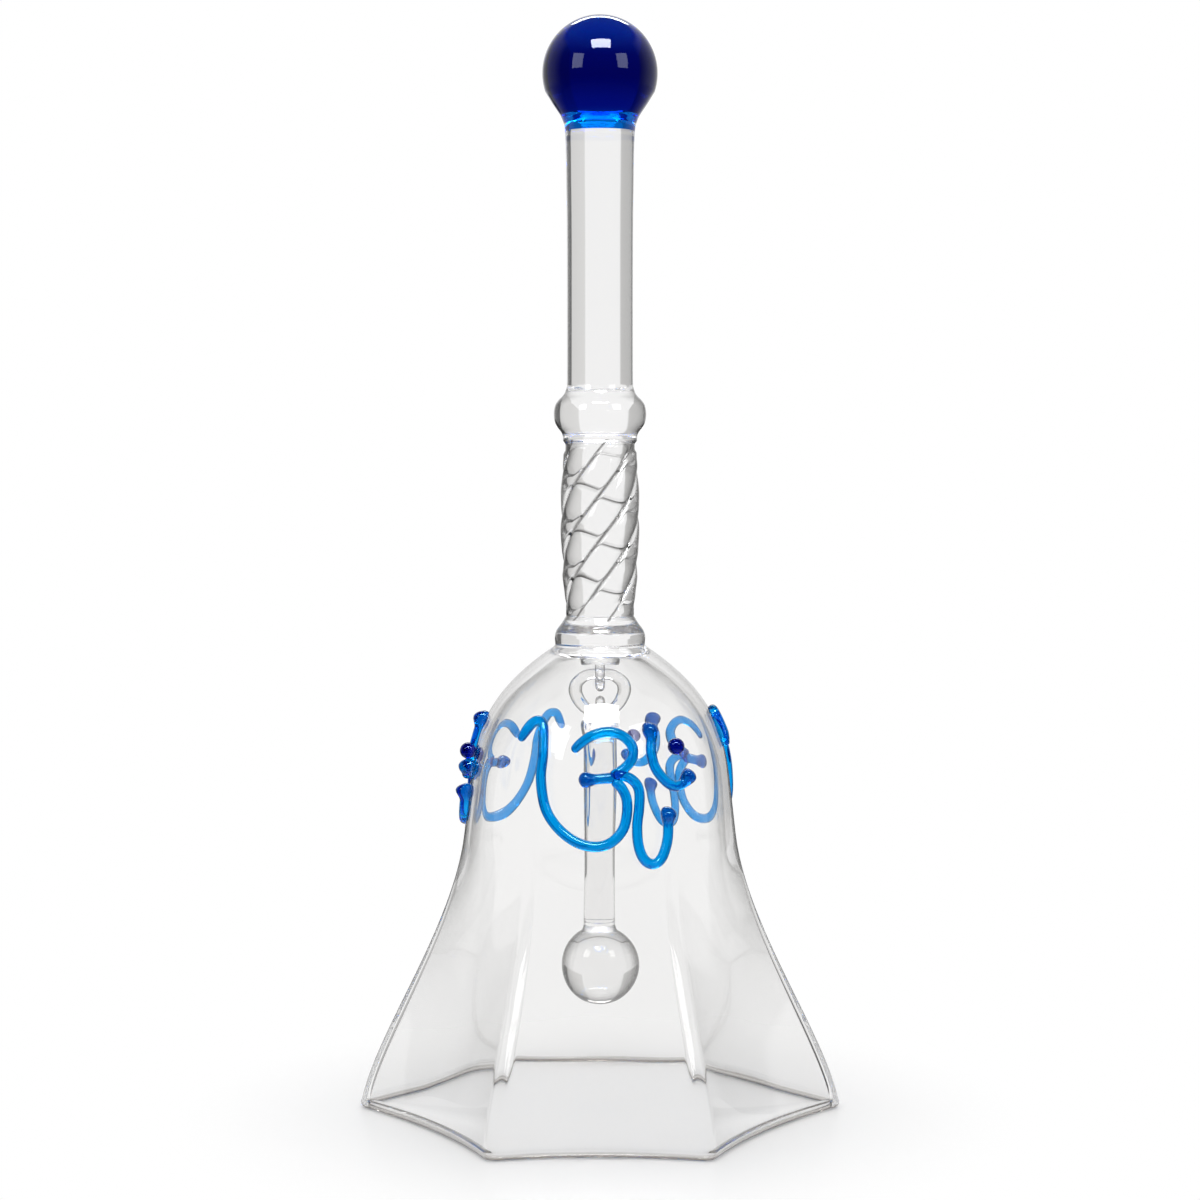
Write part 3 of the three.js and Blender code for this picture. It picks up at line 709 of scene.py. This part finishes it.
def clapper_ball_rings():
    line = []
    top = math.asin((NECK_START - CLAPPER_CENTRE) / CLAPPER_BALL)
    steps = 36
    for k in range(1, steps + 1):
        a = -math.pi / 2 + (top + math.pi / 2) * k / steps
        line.append((CLAPPER_BALL * math.cos(a), CLAPPER_CENTRE + CLAPPER_BALL * math.sin(a)))
    line += smooth_line([(3.12, 33.05), (3.02, 33.35), (2.9, ROD_BASE)], 4)
    return turned_rings(line, 72)


add_piece(skinned_mesh("clapper_ball_glass", clapper_ball_rings(), CLAPPER_CENTRE - CLAPPER_BALL, "fused"),
          "clapper_ball", "clapper", [bent_glass, fused_face])

# Signs: five strokes of azure rod and a cobalt bead, bent freehand and laid hot on the shell, three times.
# Each stroke ends round, and has sunk a little into the shell. The thick ends are bulbs of cobalt.
SIGN_HEIGHT = 61.0
STEM = 0.93
BULB = 1.42
DOT = 1.5
DOT_PLACE = (15.1, 7.8)
SINK = 0.22
STROKE_SIDES = 18
STROKE_STEP = 0.45
CAP_STEPS = 7
TAPER = 3 * STEM
BULB_NECK = 2.3
COBALT_REACH = (1.2 * BULB, 3.2 * BULB)
COBALT_AT_BULB = 0.75
COBALT_AT_TIP = 0.3
COBALT_TIP_REACH = 5
COBALT_IN_BAR = 0.35
STROKES = {
    "sweep": (0.8 * STEM, STEM, [
        (-17.1, 8.6), (-14.6, 11.9), (-12.2, 11.6), (-11.1, 7), (-11, 2.3), (-9.9, -2.5), (-7.6, -5.8),
        (-4.4, -8.2), (-1.2, -9.1), (1.7, -8.5), (3.9, -6.3), (4.7, -3.6), (4.7, -0.9), (3.7, 1.2),
        (2.2, 2.5)]),
    "curl": (0.85 * STEM, STEM, [
        (-5.3, 7.2), (-3.5, 8.8), (-1.2, 10.1), (1.9, 10.6), (4.6, 9.8), (6.2, 8.1), (6.1, 6.2), (5.0, 4.8),
        (3.4, 3.7), (1.9, 3.0)]),
    "bar": (BULB, 1.05 * STEM, [(-3.9, 2.4), (-1.5, 2.5), (1.3, 2.7), (2.9, 2.8)]),
    "tail": (STEM, BULB, [
        (2.4, 2.9), (4.0, 3.1), (5.5, 2.6), (6.7, 1.4), (7.1, -0.2), (6.9, -2.8), (6.5, -5.6), (6.6, -8.8),
        (7.4, -11.2), (8.9, -12.3), (10.5, -11.7), (11.8, -9.1), (12.3, -6.2), (12.2, -2.5)]),
    "crescent": (BULB, BULB, [
        (9.8, 12), (10.3, 9.6), (9.9, 7.2), (10.3, 4.6), (11.8, 2.4), (13.8, 1), (16, 1.3), (17.9, 3.6)]),
}
SIGNS = [
    {"name": "front", "azimuth": 0, "tail": 1.0, "dot": 0.0, "bar": 0.0, "hook": 0.0},
    {"name": "right", "azimuth": 128, "tail": 0.93, "dot": -0.8, "bar": -0.3, "hook": 2.6},
    {"name": "left", "azimuth": -121.5, "tail": 0.72, "dot": -2.6, "bar": -0.4, "hook": 0.0},
]


def nudged(stroke, points, sign):
    first = points[0]
    if stroke == "tail":
        return [(x, 2.5 + (z - 2.5) * sign["tail"]) for x, z in points]
    if stroke == "sweep":
        return [(first[0], first[1] - sign["hook"])] + points[1:]
    if stroke == "bar":
        return [(x, z + sign["bar"]) for x, z in points]
    return points


def stroke_mesh(name, start, end, points, azimuth):
    fine = smooth_line(points, 24)
    lengths = [0.0]
    for a, b in zip(fine, fine[1:]):
        lengths.append(lengths[-1] + (b - a).length)
    total = lengths[-1]

    def flat_at(s):
        s = min(max(s, 0.0), total)
        for i in range(1, len(fine)):
            if s <= lengths[i]:
                t = (s - lengths[i - 1]) / max(lengths[i] - lengths[i - 1], 1e-9)
                return fine[i - 1].lerp(fine[i], t)
        return fine[-1]

    def radius_at(s):
        def ball(radius, along):
            away = abs(along - radius)
            return math.sqrt(radius * radius - away * away) if away < radius else 0.0

        run = STEM
        swell = 0.0
        for tip, along in ((start, s), (end, total - s)):
            thin = min(tip / STEM, 1)
            run = min(run, (thin + (1 - thin) * ease(along, 0, TAPER)) * STEM)
            swell += max(tip - STEM, 0) * (1 - ease(along, tip, tip * BULB_NECK))
        inside = run + swell if start < s < total - end else 0.0
        return max(inside, ball(start, s), ball(end, total - s))

    def place(s, proud):
        flat = flat_at(s)
        return on_shell(azimuth + flat.x / WAIST[0], SIGN_HEIGHT + flat.y, proud)

    turns = [math.pi / 2 * k / CAP_STEPS for k in range(1, CAP_STEPS + 1)]
    stations = [start * (1 - math.cos(a)) for a in turns]
    steps = max(6, int((total - start - end) / STROKE_STEP))
    stations += [start + (total - start - end) * k / steps for k in range(1, steps)]
    stations += [total - end * (1 - math.cos(a)) for a in reversed(turns)]
    rings = []
    shares = []
    for s in stations:
        radius = radius_at(s)
        lift = max(radius, 0.8 * STEM) - SINK
        centre = place(s, lift)
        ahead = (place(s + 0.05, lift) - place(s - 0.05, lift)).normalized()
        outward = Vector((centre.x, centre.y, 0)).normalized()
        normal = (outward - ahead * outward.dot(ahead)).normalized()
        side = ahead.cross(normal)
        rings.append(wire_ring(centre, normal, side, radius, STROKE_SIDES))
        at_start = COBALT_AT_TIP * (1 - ease(s, 0, COBALT_TIP_REACH))
        if start > STEM:
            at_start = COBALT_AT_BULB * (1 - ease(s, *COBALT_REACH))
        at_end = COBALT_AT_BULB * (1 - ease(total - s, *COBALT_REACH)) if end > 1.2 * STEM else 0.0
        shares.append(max(at_start, at_end))
    mesh = skinned_mesh(name, rings, "glass", "glass")
    depth = mesh.attributes.new("cobalt_share", "FLOAT", "POINT")
    for k, share in enumerate(shares):
        for i in range(STROKE_SIDES):
            depth.data[k * STROKE_SIDES + i].value = max(share, COBALT_IN_BAR) if "bar" in name else share
    return mesh


def stroke_glass():
    material = glass_material(
        "azure_rod_glass", (0.0, 0.36, 0.88), (0.0, 0.27, 0.75), (0.0, 0.01, 0.09), 0.42, 130.0,
        (1, 1, 1), 0.05)
    shader = shader_of(material)
    shader.inputs["IOR"].default_value = 1.42
    shader.inputs["Specular Tint"].default_value = (0.35, 0.75, 1, 1)
    share = material.node_tree.nodes.new("ShaderNodeAttribute")
    share.attribute_name = "cobalt_share"
    tint(material, share.outputs["Fac"], (0.0, 0.02, 0.34))
    return material


azure_rod = stroke_glass()
cobalt_bead = glass_material(
    "cobalt_bead_glass", (0.0, 0.006, 0.26), (0.0, 0.002, 0.16), (0.0, 0.0, 0.03), 0.45, 200.0,
    (1, 1, 1), 0.03)
shader_of(cobalt_bead).inputs["Specular Tint"].default_value = (0.3, 0.45, 1, 1)
for sign in SIGNS:
    facing = math.radians(sign["azimuth"])
    for stroke, (begin, finish, drawn) in STROKES.items():
        label = f"{sign['name']}_{stroke}"
        add_piece(stroke_mesh(f"{label}_glass", begin, finish, nudged(stroke, drawn, sign), facing),
                  label, "bell", [azure_rod])
    spot = on_shell(facing + DOT_PLACE[0] / WAIST[0], SIGN_HEIGHT + DOT_PLACE[1] + sign["dot"], DOT - SINK)
    rises = [-math.pi / 2 + math.pi * (j + 0.5) / 20 for j in range(20)]
    slices = turned_rings([(DOT * math.cos(b), DOT * math.sin(b)) for b in rises], 32)
    bead = [[spot + Vector(point) for point in ring] for ring in slices]
    add_piece(skinned_mesh(f"{sign['name']}_dot_glass", bead, "glass", "glass"),
              f"{sign['name']}_dot", "bell", [cobalt_bead])

# Floor: a plain pale sweep that the bell stands on. It keeps the bell's shadow near the rim and is white
# further away, and it is dim to mirrors that are far above it, as the photographed table is in the ball.
FLOOR_DROP = -0.00006
FLOOR_EDGE = [(-0.24, -0.2), (-0.1, -0.27), (0.1, -0.27), (0.24, -0.2), (0.3, 0.0), (0.2, 0.22), (0.9, 2.9),
              (-1.4, 2.9), (-0.22, 0.2), (-0.3, 0.0)]
SHADOW_REACH = (0.03, 0.08)
MIRROR_REACH = (0.06, 0.15)


def floor_paint():
    material = new_material("white_sweep")
    tree = material.node_tree
    shader = shader_of(material)
    shader.inputs["Base Color"].default_value = (0.92, 0.92, 0.92, 1)
    shader.inputs["Roughness"].default_value = 0.3
    shader.inputs["Specular IOR Level"].default_value = 0.25
    where = tree.nodes.new("ShaderNodeTexCoord")
    far = tree.nodes.new("ShaderNodeVectorMath")
    far.operation = "LENGTH"
    link_nodes(tree, where, "Object", far, 0)
    fade = map_range(tree, far.outputs["Value"], *SHADOW_REACH, smooth=True)
    glow = tree.nodes.new("ShaderNodeEmission")
    faded = tree.nodes.new("ShaderNodeMixShader")
    link_nodes(tree, fade, 0, faded, 0)
    link_nodes(tree, shader, 0, faded, 1)
    link_nodes(tree, glow, 0, faded, 2)
    ray = tree.nodes.new("ShaderNodeLightPath")
    high = map_range(tree, ray.outputs["Ray Length"], *MIRROR_REACH)
    high.inputs["To Max"].default_value = 0.96
    dim = math_node(tree, "MULTIPLY", high.outputs[0], ray.outputs["Is Reflection Ray"])
    dark = tree.nodes.new("ShaderNodeEmission")
    dark.inputs["Strength"].default_value = 0.0
    seen = tree.nodes.new("ShaderNodeMixShader")
    link_nodes(tree, dim, 0, seen, 0)
    link_nodes(tree, faded, 0, seen, 1)
    link_nodes(tree, dark, 0, seen, 2)
    link_nodes(tree, seen, 0, tree.nodes["Material Output"], 0)
    return material


floor_mesh = bpy.data.meshes.new("floor")
floor_mesh.from_pydata([(x, y, FLOOR_DROP) for x, y in FLOOR_EDGE], [], [tuple(range(len(FLOOR_EDGE)))])
floor_mesh.materials.append(floor_paint())
floor = bpy.data.objects.new("floor", floor_mesh)
bpy.context.scene.collection.objects.link(floor)

# Studio: a white backdrop behind the bell with grey and dark boards beside it, which draw the glass's edges.
# Three soft boxes in front and a strip above give the reflections, and light only what mirrors or bends them.
def build_world():
    world = bpy.data.worlds.new("studio")
    bpy.context.scene.world = world
    world.use_nodes = True
    world.cycles.sampling_method = "NONE"
    tree = world.node_tree
    back = tree.nodes["Background"]
    parts = place_parts(tree, "Generated")
    azimuth = math_node(tree, "ARCTAN2", parts.outputs["X"], parts.outputs["Y"])
    share = map_range(tree, azimuth.outputs[0], -math.pi, math.pi)

    def ramp(stops):
        node = tree.nodes.new("ShaderNodeValToRGB")
        elements = node.color_ramp.elements
        while len(elements) > 1:
            elements.remove(elements[-1])
        for k, (degrees, value) in enumerate(stops):
            place = (degrees + 180) / 360
            element = elements[0] if k == 0 else elements.new(place)
            element.position = place
            warmth = (1, 0.995, 0.985) if value < 0.9 else (1, 1, 1)
            element.color = (*(value * part for part in warmth), 1)
        link_nodes(tree, share, 0, node, 0)
        return node

    def risen(low, high, start, end):
        sines = (math.sin(math.radians(start)), math.sin(math.radians(end)))
        step = map_range(tree, parts.outputs["Z"], *sines)
        return colour_mix(tree, step.outputs[0], low, high).outputs[2]

    low = ramp([(-180, 1), (-76, 1), (-75, 0.05), (-62, 0.05), (-60, 0.42), (-27, 0.6), (-25, 1), (17, 1),
                (18, 0.78), (46, 0.7), (47, 0.05), (69, 0.05), (71, 1), (180, 1)])
    high = ramp([(-180, 1), (-76, 1), (-75, 0.3), (-27, 0.3), (-25, 1), (17, 1), (18, 0.3), (70, 0.3),
                 (71, 1), (180, 1)])
    boards = risen(low.outputs[0], high.outputs[0], 33, 37)
    through = risen(boards, (0.96, 0.96, 0.96, 1), 60, 66)
    mirror_low = ramp([(-180, 0.04), (-95, 0.04), (-76, 0.35), (-27, 0.7), (-25, 1), (17, 1), (18, 0.8),
                       (70, 0.45), (95, 0.04), (180, 0.04)])
    mirror_above = risen(mirror_low.outputs[0], (0.08, 0.08, 0.08, 1), 40, 46)
    mirrored = risen(mirror_above, (0.01, 0.01, 0.01, 1), -4, -34)
    ray = tree.nodes.new("ShaderNodeLightPath")
    glossy = colour_mix(tree, ray.outputs["Is Glossy Ray"], (1, 1, 1, 1), mirrored)
    bent = colour_mix(tree, ray.outputs["Is Transmission Ray"], glossy.outputs[2], through)
    onto_floor = math_node(tree, "MINIMUM", ray.outputs["Diffuse Depth"], 1.0)
    spread = colour_mix(tree, onto_floor.outputs[0], bent.outputs[2], (1, 1, 1, 1))
    tree.links.new(spread.outputs[2], back.inputs["Color"])


build_world()


def soft_box(name, place, aim, size, watts):
    lamp = bpy.data.lights.new(name, "AREA")
    lamp.shape = "RECTANGLE"
    lamp.size = size[0]
    lamp.size_y = size[1]
    lamp.energy = watts
    box = bpy.data.objects.new(name, lamp)
    bpy.context.scene.collection.objects.link(box)
    box.location = place
    box.rotation_euler = (Vector(aim) - Vector(place)).to_track_quat("-Z", "Y").to_euler()
    box.visible_camera = False
    box.visible_diffuse = False
    lamp.use_nodes = True
    tree = lamp.node_tree
    ray = tree.nodes.new("ShaderNodeLightPath")
    unspread = math_node(tree, "LESS_THAN", ray.outputs["Diffuse Depth"], 0.5)
    link_nodes(tree, unspread, 0, tree.nodes["Emission"], "Strength")


def around(degrees, distance, height):
    a = math.radians(degrees)
    return (distance * math.sin(a), -distance * math.cos(a), height)


BOX_DISTANCE = 0.33
AIM_AT_FINIAL = (0, 0, 0.19)
soft_box("key_box", around(3, BOX_DISTANCE, 0.61), AIM_AT_FINIAL, (0.31, 0.18), 7.0)
soft_box("left_box", around(-45.4, BOX_DISTANCE, 0.289), AIM_AT_FINIAL, (0.13, 0.16), 0.32)
soft_box("right_box", around(45.4, BOX_DISTANCE, 0.289), AIM_AT_FINIAL, (0.13, 0.16), 0.32)
soft_box("back_strip", (0, 0.58, 0.74), (0, 0, 0.12), (0.5, 0.12), 2.0)

# Camera: close to the bell and a little above its dome, looking slightly down, as the photograph was taken.
# Light passes many surfaces of glass, so the bounces are many.
CAMERA_PLACE = (0.0, -0.458, 0.1139)
LENS_PIXELS = 2500
HALF_PICTURE_PIXELS = 600
LOOK_DOWN_PIXELS = 110
camera_data = bpy.data.cameras.new("camera")
camera_data.sensor_fit = "HORIZONTAL"
camera_data.angle = 2 * math.atan(HALF_PICTURE_PIXELS / LENS_PIXELS)
camera = bpy.data.objects.new("camera", camera_data)
camera.location = CAMERA_PLACE
camera.rotation_euler = (math.pi / 2 - math.atan(LOOK_DOWN_PIXELS / LENS_PIXELS), 0, 0)
bpy.context.scene.collection.objects.link(camera)
scene = bpy.context.scene
scene.camera = camera
scene.view_settings.view_transform = "Standard"
scene.cycles.blur_glossy = 0.0
scene.cycles.max_bounces = 96
scene.cycles.transmission_bounces = 96
scene.cycles.glossy_bounces = 96
scene.cycles.diffuse_bounces = 3
scene.cycles.transparent_max_bounces = 64
